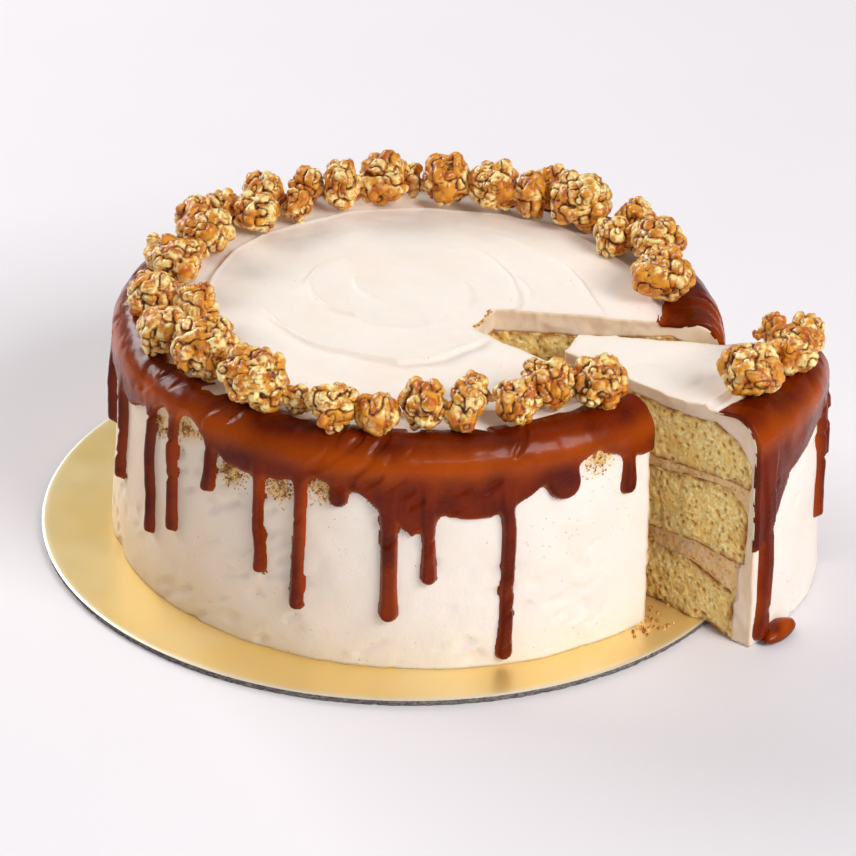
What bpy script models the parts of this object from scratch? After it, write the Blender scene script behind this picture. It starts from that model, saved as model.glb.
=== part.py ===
"""Caramel popcorn cake on its gold board, with one slice drawn part way out.

Three sponges with two fillings stand under one coat of icing. Caramel is poured over the
rim and runs down the side in drips, and a ring of caramel popcorn lies on the rim.
Metres, +Z up. The origin is the centre of the board's underside.
"""
import math
import random

import bmesh
import bpy
from mathutils import Vector

# Driving dimensions, in metres
MM = 0.001
GAP = 0.3 * MM                       # clearance between pieces that touch

BOARD_RADIUS = 136 * MM
BOARD_THICKNESS = 3 * MM
BOARD_STEPS = 72

CAKE_AXIS = Vector((6 * MM, 0, 0))   # the cake stands a little off the board's centre
CAKE_STEPS = 42
CAKE_HEIGHT = 88.5 * MM              # from the board to the icing's top
BASE_RADIUS = 115 * MM               # icing, where it meets the board
SIDE_TOP_RADIUS = 112.6 * MM         # icing, where the side meets the rounded rim
RIM_RADIUS = 11 * MM
RIM_STEPS = 3
SPONGE_RADIUS = 108.5 * MM
SHOULDER_WIDTH = 10 * MM             # sponges fall away at their top edge
SHOULDER_DROP = 5 * MM

# Heights above the board at which each layer ends
BOTTOM_SPONGE_TOP = 26 * MM
LOWER_FILLING_TOP = 31.5 * MM
MIDDLE_SPONGE_TOP = 56 * MM
UPPER_FILLING_TOP = 60.5 * MM
TOP_SPONGE_TOP = 79.5 * MM

CUT_FRONT = math.radians(-41.5)
CUT_BACK = math.radians(-5)
NOTCH_TIP = 28 * MM                  # the notch ends bluntly this far from the axis
SLICE_TIP = 22 * MM                  # and the slice this far from its own
SLICE_SHIFT = Vector((37.5 * MM, -13.8 * MM, 0))

# Caramel: thickness at a drip's middle, and how much of it the rest of the pour has
DRIP_THICKNESS = 3.4 * MM
TOP_SHARE = 0.35
SHEET_SHARE = 0.55
EDGE_SHARE = 0.4
BAND_INNER_RADIUS = 90 * MM
BAND_INNER_WANDER = 1.6 * MM

# Each drip: angle in degrees, height of its tip and width in millimetres, how many times
# wider its root is, and the height of the sheet's edge beyond it in millimetres
CAKE_DRIPS = [
    (-47.5, 57.5, 6.6, 1.7, 75), (-62.3, 63.7, 14, 1.4, 69), (-72.7, 2.5, 6.4, 1.7, 60),
    (-87.3, 35, 6, 1.6, 58), (-94.5, 19.6, 7.2, 1.9, 69), (-103.3, 63.5, 7, 1.7, 73),
    (-111, 19.2, 5.7, 1.7, 69.5), (-119, 30.2, 5.3, 1.7, 69), (-130.5, 55.3, 5.7, 1.7, 75),
    (-140.2, 31.4, 4.9, 1.6, 75), (-147.8, 23.5, 4.9, 1.7, 70), (-161.4, 32.2, 5.3, 1.7, 68),
    (-174, 43, 5.3, 1.7, 72),
]
SLICE_DRIPS = [(-8, 46, 4, 1.3, 70), (-13.5, 27, 5, 1.7, 68), (-36, 1, 7.5, 2.4, 60)]
FIRST_EDGE = 70 * MM
ARCH_HEIGHT = 1.5 * MM
MAX_COLUMN_STEP = math.radians(5)
BACK_DRIPS = 9
BACK_SEED = 4
BACK_FROM = -187
BACK_TO = -356

# The puddle at the foot of the slice's long drip
FOOT_ANGLE = math.radians(-34.5)
FOOT_REACH = 117.5 * MM
FOOT_SIZE = Vector((10 * MM, 18 * MM, 8 * MM))

# Popcorn: angle in degrees, radius, width and height in millimetres
CAKE_POPCORN = [
    (-49.5, 99.5, 19, 17), (-59.3, 91.5, 17, 17), (-68.6, 98, 15.5, 16),
    (-76, 84, 13, 12), (-80.2, 101, 13, 18), (-88.6, 97, 16, 17.5),
    (-97.8, 100, 14.5, 13.5), (-107, 101.5, 17, 15), (-116.6, 97, 11, 8.5),
    (-125.5, 100.5, 22.5, 21.5), (-141.5, 97, 22, 22), (-156.5, 101, 18, 15),
    (-167, 84.5, 15, 14), (-174, 99, 17, 14.5), (171.5, 94, 19.5, 16),
    (162.5, 103, 11, 9.5), (153.2, 92, 20, 15.5), (146.6, 105, 13, 13),
    (137.8, 104, 11.5, 11), (135.6, 89, 15.5, 13.5), (127.6, 101.5, 14.5, 14),
    (124.6, 85.5, 11, 11), (117.6, 98, 12.5, 13), (110.6, 88.5, 14, 18.5),
    (100, 91, 18, 19), (92, 95, 8.5, 12), (84, 92, 17.5, 19),
    (72.3, 90.5, 19, 18.5), (62.3, 89.5, 13.5, 17.5), (60.3, 103, 11.5, 16),
    (50, 95, 21.5, 20.5), (38.5, 103.5, 13, 14), (33.2, 88, 14, 13),
    (24.6, 98, 20, 17.5), (7.8, 91.5, 21, 18),
]
SLICE_POPCORN = [
    (-31.8, 96.5, 21, 18), (-18.6, 103, 18.5, 16.5), (-8.5, 105, 13, 12.5),
    (-8, 92, 11, 12.5),
]
POPCORN_LOBES = 7
POPCORN_CORE = 0.68
LOBE_SHARPNESS = 4
POPCORN_LAP = 0.4 * MM               # clearance between two neighbouring pieces

# Colours: red, green, blue
GOLD = (0.72, 0.5, 0.2)
SPONGE = (0.74, 0.56, 0.27)
CREAM = (0.86, 0.76, 0.62)
CARAMEL = (0.36, 0.08, 0.02)
POPCORN = (0.66, 0.36, 0.1)


def clear_scene():
    """Start from an empty scene."""
    for thing in list(bpy.data.objects):
        bpy.data.objects.remove(thing, do_unlink=True)


def new_collection(name):
    """A collection linked to the scene."""
    collection = bpy.data.collections.new(name)
    bpy.context.scene.collection.children.link(collection)
    return collection


def new_material(name, colour, roughness, metallic=0.0):
    """A Principled material of one colour."""
    material = bpy.data.materials.new(name)
    material.use_nodes = True
    shader = material.node_tree.nodes["Principled BSDF"]
    shader.inputs["Base Color"].default_value = (*colour, 1)
    shader.inputs["Roughness"].default_value = roughness
    shader.inputs["Metallic"].default_value = metallic
    return material


def add_object(name, mesh, collection, material, place):
    """Put a mesh in the scene as a smooth-shaded object."""
    thing = bpy.data.objects.new(name, mesh)
    thing.location = place
    collection.objects.link(thing)
    mesh.materials.append(material)
    mesh.shade_smooth()
    mesh.set_sharp_from_angle(angle=math.radians(40))
    return thing


def mesh_from_bmesh(name, bm):
    """Turn a bmesh into a mesh and free it."""
    mesh = bpy.data.meshes.new(name)
    bm.to_mesh(mesh)
    bm.free()
    return mesh


def turned(name, profile, steps, collection, material, place):
    """A solid of revolution: the profile runs from the axis at the top, out, down and back."""
    mesh = bpy.data.meshes.new(name)
    points = [(radius, 0, height) for radius, height in profile]
    edges = [(i, i + 1) for i in range(len(points) - 1)]
    mesh.from_pydata(points, edges, [])
    thing = add_object(name, mesh, collection, material, place)
    screw = thing.modifiers.new("turn", "SCREW")
    screw.steps = steps
    screw.render_steps = steps
    screw.use_merge_vertices = True
    screw.merge_threshold = 0.00005
    return thing


def polar(radius, angle, height=0.0):
    """A point given by its distance from the axis, its angle and its height."""
    return Vector((radius * math.cos(angle), radius * math.sin(angle), height))


def wedge_outline(tip):
    """Plan of the cut: a sector with its tip cut off square, open past the cake's side."""
    far = BASE_RADIUS * 1.6
    middle = (CUT_FRONT + CUT_BACK) / 2
    return [polar(tip, CUT_FRONT), polar(far, CUT_FRONT), polar(far, middle),
            polar(far, CUT_BACK), polar(tip, CUT_BACK)]


def wedge_cutter(name, tip, collection, place):
    """An upright prism with the cut's plan, taller than the cake."""
    curve = bpy.data.curves.new(name, "CURVE")
    curve.dimensions = "2D"
    curve.fill_mode = "BOTH"
    curve.extrude = CAKE_HEIGHT
    spline = curve.splines.new("POLY")
    outline = wedge_outline(tip)
    spline.points.add(len(outline) - 1)
    for point, corner in zip(spline.points, outline):
        point.co = (*corner, 1)
    spline.use_cyclic_u = True
    guide = bpy.data.objects.new(name + "_outline", curve)
    guide.location = place + Vector((0, 0, CAKE_HEIGHT / 2))
    collection.objects.link(guide)
    bpy.context.view_layer.update()
    evaluated = guide.evaluated_get(bpy.context.evaluated_depsgraph_get())
    mesh = bpy.data.meshes.new_from_object(evaluated)
    bm = bmesh.new()
    bm.from_mesh(mesh)
    bmesh.ops.remove_doubles(bm, verts=bm.verts, dist=0.00001)
    bm.to_mesh(mesh)
    bm.free()
    cutter = bpy.data.objects.new(name, mesh)
    cutter.matrix_world = guide.matrix_world
    collection.objects.link(cutter)
    bpy.data.objects.remove(guide, do_unlink=True)
    cutter.hide_render = True
    cutter.display_type = "WIRE"
    return cutter


def cut(thing, cutter, operation):
    """Cut a solid with the exact Boolean."""
    boolean = thing.modifiers.new(operation.lower(), "BOOLEAN")
    boolean.operation = operation
    boolean.solver = "EXACT"
    boolean.object = cutter


def above_board(height):
    """World height of a level measured from the board's top."""
    return BOARD_THICKNESS + height


def rim_profile(offset=0.0):
    """The icing's outer outline round the rim, grown outwards by an offset."""
    centre_radius = SIDE_TOP_RADIUS - RIM_RADIUS
    centre_height = above_board(CAKE_HEIGHT - RIM_RADIUS)
    points = []
    for step in range(RIM_STEPS + 1):
        turn = math.pi / 2 * (1 - step / RIM_STEPS)
        radius = centre_radius + (RIM_RADIUS + offset) * math.cos(turn)
        points.append((radius, centre_height + (RIM_RADIUS + offset) * math.sin(turn)))
    return points


def side_radius(height):
    """Radius of the icing's side at a world height."""
    top = above_board(CAKE_HEIGHT - RIM_RADIUS)
    share = (height - BOARD_THICKNESS) / (top - BOARD_THICKNESS)
    return BASE_RADIUS + (SIDE_TOP_RADIUS - BASE_RADIUS) * share


def sponge_profile(low, high):
    """A sponge between two levels, with its top edge falling away."""
    bottom = above_board(low) + GAP
    top = above_board(high)
    return [(0, top), (SPONGE_RADIUS - SHOULDER_WIDTH, top), (SPONGE_RADIUS, top - SHOULDER_DROP),
            (SPONGE_RADIUS, bottom), (0, bottom)]


def filling_profile(low, high):
    """A filling that also fills the space round the shoulder of the sponge below it."""
    bottom = above_board(low) + GAP
    top = above_board(high)
    return [(0, top), (SPONGE_RADIUS, top), (SPONGE_RADIUS, bottom - SHOULDER_DROP),
            (SPONGE_RADIUS - SHOULDER_WIDTH, bottom), (0, bottom)]


def icing_profile():
    """The coat of icing: a cup turned upside down over the layers."""
    inner = SPONGE_RADIUS + GAP
    bottom = BOARD_THICKNESS + GAP
    ceiling = above_board(TOP_SPONGE_TOP) + GAP
    outside = [(0, above_board(CAKE_HEIGHT))] + rim_profile() + [(BASE_RADIUS, bottom)]
    inside = [(inner, bottom), (inner, ceiling - SHOULDER_DROP),
              (inner - SHOULDER_WIDTH, ceiling), (0, ceiling)]
    return outside + inside


def layer_profiles():
    """Node name and profile of every layer inside the icing, from the board up."""
    return {
        "sponge_bottom": sponge_profile(0, BOTTOM_SPONGE_TOP),
        "filling_lower": filling_profile(BOTTOM_SPONGE_TOP, LOWER_FILLING_TOP),
        "sponge_middle": sponge_profile(LOWER_FILLING_TOP, MIDDLE_SPONGE_TOP),
        "filling_upper": filling_profile(MIDDLE_SPONGE_TOP, UPPER_FILLING_TOP),
        "sponge_top": sponge_profile(UPPER_FILLING_TOP, TOP_SPONGE_TOP),
        "icing": icing_profile(),
    }


def back_drips():
    """Drips round the far side, uneven like those in front."""
    rng = random.Random(BACK_SEED)
    step = (BACK_TO - BACK_FROM) / BACK_DRIPS
    drips = []
    for index in range(BACK_DRIPS):
        angle = BACK_FROM + step * (index + 0.5 + rng.uniform(-0.2, 0.2))
        tip = rng.uniform(12, 60)
        drips.append((angle, tip, rng.uniform(4.9, 7), 1.7, rng.uniform(66, 74)))
    return drips


def add_arch(columns, angle, web):
    """Carry the sheet's edge to the next angle, arched up in between where it is far."""
    last, last_edge, _ = columns[-1]
    spans = math.ceil(abs(last - angle) / MAX_COLUMN_STEP)
    for span in range(1, spans):
        share = span / spans
        edge = last_edge + (web - last_edge) * share + ARCH_HEIGHT * math.sin(math.pi * share)
        columns.append((last + (angle - last) * share, edge, EDGE_SHARE))
    columns.append((angle, web, EDGE_SHARE))


def drip_columns(drips, start, end):
    """Columns of the caramel sheet from one cut to the other: angle, edge height, thickness."""
    columns = [(start, FIRST_EDGE, EDGE_SHARE)]
    web = FIRST_EDGE
    for angle_deg, tip_mm, width_mm, root, next_web_mm in drips:
        angle = math.radians(angle_deg)
        tip = tip_mm * MM
        half = width_mm * MM / 2 / BASE_RADIUS
        shoulder = tip + width_mm * MM * 0.4
        next_web = next_web_mm * MM
        add_arch(columns, angle + root * half, web)
        columns.append((angle + half, shoulder, SHEET_SHARE))
        columns.append((angle, tip, 1.0))
        columns.append((angle - half, shoulder, SHEET_SHARE))
        columns.append((angle - root * half, next_web, EDGE_SHARE))
        web = next_web
    add_arch(columns, end, web)
    return columns


def caramel_rows(angle, edge_height):
    """Points of one column on the icing, from the band's inner edge to the drip's tip."""
    inner = BAND_INNER_RADIUS + BAND_INNER_WANDER * math.sin(7 * angle) * math.sin(3 * angle + 1)
    rim = rim_profile(GAP)
    rows = [(inner, rim[0][1])] + rim
    rim_end = rim[-1][1]
    tip = above_board(edge_height)
    for share in (0.5, 1.0):
        height = rim_end + (tip - rim_end) * share
        rows.append((side_radius(height) + GAP, height))
    return rows


def thickness_share(run, edge_share):
    """Thin on top, thicker on the rim, then whatever the column has at its lower edge."""
    if run < 0.5:
        return TOP_SHARE + (SHEET_SHARE - TOP_SHARE) * run / 0.5
    return SHEET_SHARE + (edge_share - SHEET_SHARE) * (run - 0.5) / 0.5


def caramel_sheet(name, columns, collection, material, place):
    """The poured caramel: an open sheet on the icing, thickened outwards."""
    rows = [caramel_rows(angle, edge) for angle, edge, share in columns]
    bm = bmesh.new()
    weights = bm.verts.layers.deform.verify()
    bmesh.ops.create_grid(bm, x_segments=len(columns) - 1, y_segments=len(rows[0]) - 1, size=1)
    bm.verts.ensure_lookup_table()
    for vert in bm.verts:
        column = round((vert.co.x + 1) / 2 * (len(columns) - 1))
        row = round((vert.co.y + 1) / 2 * (len(rows[0]) - 1))
        angle, edge, share = columns[column]
        radius, height = rows[column][row]
        vert.co = polar(radius, angle, height)
        vert[weights][0] = thickness_share(row / (len(rows[0]) - 1), share)
    mesh = mesh_from_bmesh(name, bm)
    thing = add_object(name, mesh, collection, material, place)
    thing.vertex_groups.new(name="thickness")
    solidify = thing.modifiers.new("thickness", "SOLIDIFY")
    solidify.thickness = DRIP_THICKNESS
    solidify.offset = 1
    solidify.vertex_group = "thickness"
    return thing


def caramel_foot(collection, place):
    """A flat rounded puddle against the foot of the slice, to be joined to its drip."""
    bm = bmesh.new()
    bmesh.ops.create_uvsphere(bm, u_segments=12, v_segments=6, radius=0.5)
    floor = GAP / 2
    for vert in bm.verts:
        local = Vector((vert.co.x * FOOT_SIZE.x, vert.co.y * FOOT_SIZE.y, vert.co.z * FOOT_SIZE.z))
        turned_x = local.x * math.cos(FOOT_ANGLE) - local.y * math.sin(FOOT_ANGLE)
        turned_y = local.x * math.sin(FOOT_ANGLE) + local.y * math.cos(FOOT_ANGLE)
        height = max(local.z + FOOT_SIZE.z * 0.3, floor)
        spot = polar(FOOT_REACH, FOOT_ANGLE) + Vector((turned_x, turned_y, 0))
        radius = max(spot.length, BASE_RADIUS + GAP)
        vert.co = polar(radius, math.atan2(spot.y, spot.x), height)
    mesh = mesh_from_bmesh("foot", bm)
    foot = bpy.data.objects.new("foot", mesh)
    foot.location = place
    collection.objects.link(foot)
    foot.hide_render = True
    foot.display_type = "WIRE"
    return foot


def popcorn_directions(rng):
    """Directions and heights of the lobes of one popped kernel."""
    lobes = []
    for _ in range(POPCORN_LOBES):
        height = rng.uniform(-0.7, 1)
        angle = rng.uniform(0, 2 * math.pi)
        level = math.sqrt(1 - height * height)
        direction = Vector((level * math.cos(angle), level * math.sin(angle), height))
        lobes.append((direction, rng.uniform(0.2, 0.42)))
    return lobes


def popcorn_vertices(bm, seed, width, height):
    """Push a ball's vertices out into lobes and size it to the piece."""
    rng = random.Random(seed)
    lobes = popcorn_directions(rng)
    for vert in bm.verts:
        direction = vert.co.normalized()
        swell = POPCORN_CORE
        for lobe, amount in lobes:
            swell += amount * max(0, direction.dot(lobe)) ** LOBE_SHARPNESS
        vert.co = direction * swell * (1 + rng.uniform(-0.05, 0.05))
    for axis, size in enumerate((width, width, height)):
        low = min(vert.co[axis] for vert in bm.verts)
        high = max(vert.co[axis] for vert in bm.verts)
        for vert in bm.verts:
            vert.co[axis] = (vert.co[axis] - (low + high) / 2) * size / (high - low)


def popcorn_floor(radius, width):
    """World height a piece rests at: on the icing inside the caramel band, or on the band."""
    icing_top = above_board(CAKE_HEIGHT)
    if radius + width / 2 < BAND_INNER_RADIUS - BAND_INNER_WANDER:
        return icing_top + GAP
    return icing_top + GAP + DRIP_THICKNESS * (TOP_SHARE + SHEET_SHARE) / 2 + GAP


def popcorn_places(pieces, axis):
    """Centre, width and height of each piece."""
    places = []
    for angle_deg, radius_mm, width_mm, height_mm in pieces:
        radius = radius_mm * MM
        width = width_mm * MM
        height = height_mm * MM
        floor = popcorn_floor(radius, width)
        centre = axis + polar(radius, math.radians(angle_deg), floor + height / 2)
        places.append((centre, width, height))
    return places


def keep_apart(bm, centre, places, own):
    """Flatten a piece against each neighbour, half the lap short of the plane between them."""
    for index, (other, width, height) in enumerate(places):
        between = other - centre
        distance = between.length
        reach = (max(width, height) + max(places[own][1:])) / 2 * 1.3
        if index == own or distance > reach:
            continue
        normal = between.normalized()
        limit = distance * places[own][1] / (places[own][1] + width) - POPCORN_LAP / 2
        for vert in bm.verts:
            excess = vert.co.dot(normal) - limit
            if excess > 0:
                vert.co -= normal * excess


def popcorn_piece(name, own, places, collection, material):
    """One popped kernel, pressed against its neighbours."""
    centre, width, height = places[own]
    bm = bmesh.new()
    bmesh.ops.create_icosphere(bm, subdivisions=2, radius=1)
    popcorn_vertices(bm, own + 1, width, height)
    keep_apart(bm, centre, places, own)
    mesh = mesh_from_bmesh(name, bm)
    return add_object(name, mesh, collection, material, centre)


def build_layers(prefix, parts, cutter, operation, place, materials):
    """The sponges, fillings and icing of the cake or of the slice."""
    for layer, profile in layer_profiles().items():
        kind = "sponge" if layer.startswith("sponge") else "cream"
        thing = turned(prefix + layer, profile, CAKE_STEPS, parts, materials[kind], place)
        cut(thing, cutter, operation)


def build():
    """Make every piece of the cake."""
    clear_scene()
    parts = new_collection("caramel_popcorn_cake")
    cutters = new_collection("cutters")
    materials = {
        "gold": new_material("gold_card", GOLD, 0.35, 0.8),
        "sponge": new_material("sponge", SPONGE, 0.9),
        "cream": new_material("cream", CREAM, 0.55),
        "caramel": new_material("caramel", CARAMEL, 0.15),
        "popcorn": new_material("popcorn", POPCORN, 0.3),
    }
    board = [(0, BOARD_THICKNESS), (BOARD_RADIUS, BOARD_THICKNESS), (BOARD_RADIUS, 0), (0, 0)]
    turned("cake_board", board, BOARD_STEPS, parts, materials["gold"], Vector())

    slice_axis = CAKE_AXIS + SLICE_SHIFT
    notch = wedge_cutter("notch", NOTCH_TIP, cutters, CAKE_AXIS)
    wedge = wedge_cutter("wedge", SLICE_TIP, cutters, slice_axis)
    build_layers("cake_", parts, notch, "DIFFERENCE", CAKE_AXIS, materials)
    build_layers("slice_", parts, wedge, "INTERSECT", slice_axis, materials)

    full_turn = 2 * math.pi
    band = drip_columns(CAKE_DRIPS + back_drips(), CUT_FRONT, CUT_BACK - full_turn)
    caramel_sheet("cake_caramel", band, parts, materials["caramel"], CAKE_AXIS)
    band = drip_columns(SLICE_DRIPS, CUT_BACK, CUT_FRONT)
    poured = caramel_sheet("slice_caramel", band, parts, materials["caramel"], slice_axis)
    cut(poured, caramel_foot(cutters, slice_axis), "UNION")

    places = popcorn_places(CAKE_POPCORN, CAKE_AXIS) + popcorn_places(SLICE_POPCORN, slice_axis)
    for own in range(len(places)):
        popcorn_piece(f"popcorn_{own + 1:02d}", own, places, parts, materials["popcorn"])


build()
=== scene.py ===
"""Looks of the caramel popcorn cake: its crumb, buttercream, poured caramel and popcorn.

Lengths in the shape code are millimetres, measured from the cake's axis on top of the board;
place() moves them into the frame, and build() turns them into metres.
"""
import math
import random
from itertools import product

import bmesh
import bpy
import numpy as np
from mathutils import Matrix, Vector
from mathutils.geometry import delaunay_2d_cdt


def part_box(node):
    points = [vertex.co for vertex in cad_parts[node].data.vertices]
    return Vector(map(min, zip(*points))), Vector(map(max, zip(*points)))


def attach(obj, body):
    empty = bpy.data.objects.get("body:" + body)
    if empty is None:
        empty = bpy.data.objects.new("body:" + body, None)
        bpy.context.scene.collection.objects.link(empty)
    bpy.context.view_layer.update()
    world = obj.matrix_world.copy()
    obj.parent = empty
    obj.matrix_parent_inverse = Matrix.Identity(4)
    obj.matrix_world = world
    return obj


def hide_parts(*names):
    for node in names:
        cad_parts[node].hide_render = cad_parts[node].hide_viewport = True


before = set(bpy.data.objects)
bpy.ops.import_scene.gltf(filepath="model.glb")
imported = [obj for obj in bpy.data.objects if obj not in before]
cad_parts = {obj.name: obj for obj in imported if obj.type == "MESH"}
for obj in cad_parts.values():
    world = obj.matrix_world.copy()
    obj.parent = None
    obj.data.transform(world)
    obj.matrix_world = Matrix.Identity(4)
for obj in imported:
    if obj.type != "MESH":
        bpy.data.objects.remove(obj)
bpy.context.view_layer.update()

MM = 0.001


def detail(full, quick):
    return full


# The same driving dimensions as the CAD model
BOARD_RADIUS = 136
BOARD_THICKNESS = 3
CAKE_AXIS = np.array([6, 0, BOARD_THICKNESS])
CAKE_HEIGHT = 88.5
BASE_RADIUS = 115
SIDE_TOP_RADIUS = 112.6
RIM_RADIUS = 11
NOTCH_TIP = 28
SLICE_TIP = 22
SLICE_SHIFT = np.array([37.5, -13.8, 0])
CUT_FRONT = math.radians(-41.5)
CUT_BACK = math.radians(-5)
CUT_MIDDLE = (CUT_FRONT + CUT_BACK) / 2
CUT_HALF = (CUT_BACK - CUT_FRONT) / 2
FULL_TURN = 2 * math.pi

# The icing's outline is followed by its length: flat top, rounded rim, side
TOP_END = SIDE_TOP_RADIUS - RIM_RADIUS
RIM_END = TOP_END + RIM_RADIUS * math.pi / 2
SIDE_HEIGHT = CAKE_HEIGHT - RIM_RADIUS
SIDE_END = RIM_END + SIDE_HEIGHT

# Radius and height of the boundaries between the layers, as the cut faces show them
LAYER_GAP = 0.08
LEVELS = {
    "board": [(0, 0.15)],
    "bottom_top": [(20, 25.5), (63, 25), (74, 22.6), (90, 21.4), (98, 19.8), (104, 18.6), (110, 14.6)],
    "lower_top": [(20, 29.4), (63, 29.7), (110, 31)],
    "middle_top": [(20, 52.2), (60, 54), (82, 57), (95, 58), (102, 58.2), (107, 54.5), (111, 50)],
    "upper_top": [(20, 57.2), (60, 58.6), (100, 61.2), (111, 61.3)],
    "top_top": [(20, 80.2), (62, 80.4), (80, 81.1), (94, 83), (103, 79.5), (108, 75), (111, 70)],
}
LAYERS = {
    "sponge_bottom": ("board", "bottom_top", 106),
    "filling_lower": ("bottom_top", "lower_top", 108),
    "sponge_middle": ("lower_top", "middle_top", 110.4),
    "filling_upper": ("middle_top", "upper_top", 110.6),
    "sponge_top": ("upper_top", "top_top", 111),
}
# Inner face of the icing's side as radius and height, from the shoulder down
WALL_RADIUS = 111.1
WALL_TOP = 70
WALL_FOOT = 0.1
INNER_WALL = [(WALL_RADIUS, WALL_TOP), (WALL_RADIUS, 61.4), (110.7, 61), (110.5, 50),
              (110.5, 31), (108.1, 30.6), (108.1, 16.5), (106.1, 14.6), (106.1, WALL_FOOT)]
SHOULDER_FROM = 90
RIM_FROM = 88                        # the icing's rows are spaced for the rim from here on
# The slice's top sags towards its tip and stands a little proud at the rim
SLICE_DISH = [(20, -2.6), (60, -2.8), (75, -2.4), (85, -0.8), (97, 0.5), (103, 0.9), (112, 0.3)]

# Palette knife marks on the top: arcs about the swirl's centre, each a list of angle in
# degrees and radius, then the height of its lip and of the step beside it
SWIRL_CENTRE = np.array([-3.8, 11.7])
SWIRLS = [
    ([(60, 60), (40, 59.3), (18, 63.6), (-3, 67.6), (-15, 76)], 0.35, 0.5),
    ([(70, 40), (53, 44), (30, 40.1), (5, 39.6), (-24, 42)], 0.35, 0.5),
    ([(24, 42), (10, 44), (-6, 45.5)], 0.3, 0.2),
    ([(290, 25), (258, 28.7), (228, 29.9), (210, 34), (188, 36.9), (167, 38.7), (151, 39.2),
      (128, 38)], 0.35, 0.5),
    ([(312, 46), (292, 50.6), (278, 56.8), (267, 59.2), (250, 56.3), (229, 57.7), (214, 57.2),
      (198, 57)], 0.6, 0.7),
    ([(218, 13), (193, 17.2), (150, 23.6)], 0.25, 0.3),
    ([(30, 21.6), (-4, 22.6), (-36, 26)], 0.25, 0.3),
]
LIP_DEPTH = 1.5
STEP_DEPTH = 2.0
# The top coat ends in a lip inside the ring of popcorn
COAT_EDGE = [(-60, 87), (-20, 89), (24, 88.2), (37, 85.6), (54, 87.5), (75, 85.5), (95, 84.7),
             (116, 82.7), (135, 84.4), (153, 81.6), (171, 81), (200, 82), (250, 86), (300, 87)]
COAT_STEP = 1.3
COAT_LIP = 0.6
# Small slanting gouges in the side
GOUGE_DEPTH = 0.9
GOUGE_TILT = math.radians(35)
GOUGE_STRETCH = 3.2

# Caramel. Each drip: angle in degrees, height of its tip, width, widening of its root
CAKE_DRIPS = [
    (-47.5, 57.5, 6.6, 1.7), (-62.3, 63.7, 14, 1.4), (-72.7, 2.5, 6.4, 1.7),
    (-87.3, 35, 6, 1.6), (-94.5, 19.6, 7.2, 1.9), (-103.3, 63.5, 7, 1.7),
    (-111, 19.2, 5.7, 1.7), (-119, 30.2, 5.3, 1.7), (-130.5, 55.3, 5.7, 1.7),
    (-140.2, 31.4, 4.9, 1.6), (-147.8, 23.5, 4.9, 1.7), (-161.4, 32.2, 5.3, 1.7),
    (-174, 43, 5.3, 1.7),
]
CAKE_EDGE = [
    (-364, 70), (-184, 71), (-166, 69.5), (-155.9, 68.7), (-145.9, 77), (-136.3, 81.1),
    (-126, 69.2), (-115.6, 69.2), (-107.7, 73.8), (-99.6, 69.7), (-92, 58), (-90.3, 53.5),
    (-86.2, 61.7), (-81.3, 61.4), (-76.2, 60.6), (-67.1, 69.7), (-54.7, 79.1), (-43.9, 70.2),
    (-38, 70),
]
SLICE_DRIPS = [(-8, 46, 4, 1.3), (-13.5, 27, 5, 1.7), (-38.4, 1, 7.5, 1.7)]
SLICE_EDGE = [(-45, 36), (-41, 38), (-38.5, 42), (-35, 51), (-31, 61), (-20, 68), (-10.5, 71), (0, 70)]
BACK_DRIPS = 9
BACK_SEED = 4
BACK_FROM = -187
BACK_TO = -356
CAKE_BAND = [
    (-364, 89), (-353, 91), (-340, 98), (-300, 100), (-255, 101), (-225, 102), (-180, 103),
    (-157, 102), (-133, 104), (-120, 101), (-103, 99.6), (-93, 102), (-85, 99), (-78, 97),
    (-74, 104.5), (-70, 100), (-60, 98), (-50, 95), (-41, 94),
]
SLICE_BAND = [(-45, 94), (-36, 95), (-20, 99), (-5, 97)]
SHEET_THICKNESS = 2.1
TOP_THICKNESS = 1.5
DRIP_THICKNESS = 3.3
CARAMEL_DEPTH = 0.7                  # how far it reaches down into the icing
EDGE_WIDTH = 2.3
GLOW_LENGTH = TOP_END + 13.5         # painted glow round the rim, where light would shine through the sheet
GLOW_WIDTH = 4.5
FILLET = 3.6                         # rounding between the sheet and its drips
POUR_FROM = 86                       # smallest radius that the caramel's grid covers
DRIP_MARGIN = 3.5                    # columns stay close this far beside a drip

# The puddle at the foot of the slice's long drip
PUDDLE_HALVES = (9.2, 4.6, 2.9)      # half sizes along the board's edge, out from it and up
PUDDLE_RADIUS = 117.4
PUDDLE_ANGLE = math.radians(-34.5)
PUDDLE_BEND = 0.01
PUDDLE_HEIGHT = 2.2
PUDDLE_BOTTOM = -0.8

# Popcorn reaches down to the icing and a little past its node's sides, so that it touches
POPCORN_FLOOR = BOARD_THICKNESS + CAKE_HEIGHT - 0.2
POPCORN_SPREAD = np.array([1.17, 1.17, 1.03])
POPCORN_SEED = 500

# Brown crumbs dragged through the icing under the caramel's arches: angle in degrees and height
SIDE_CRUMBS = [(-144, 73), (-136.3, 76), (-125.5, 66.5), (-115.2, 66.5), (-106, 70), (-54.7, 76)]
SIDE_CRUMB_SPREAD = (1.7, 3.0)
CRUMBS_A_PATCH = 230
CRUMB_SEED = 8
TIP_CRUMBS = 34                      # round the notch's tip
LUMP_GRID = 2                        # grid squares along one side of a crumb
# Crumbs on the board where the slice was drawn out: angle about the cake, radius, how many
BOARD_CRUMBS = [(-43.5, 119, 26), (-40, 112, 18), (-24, 60, 16)]

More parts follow.
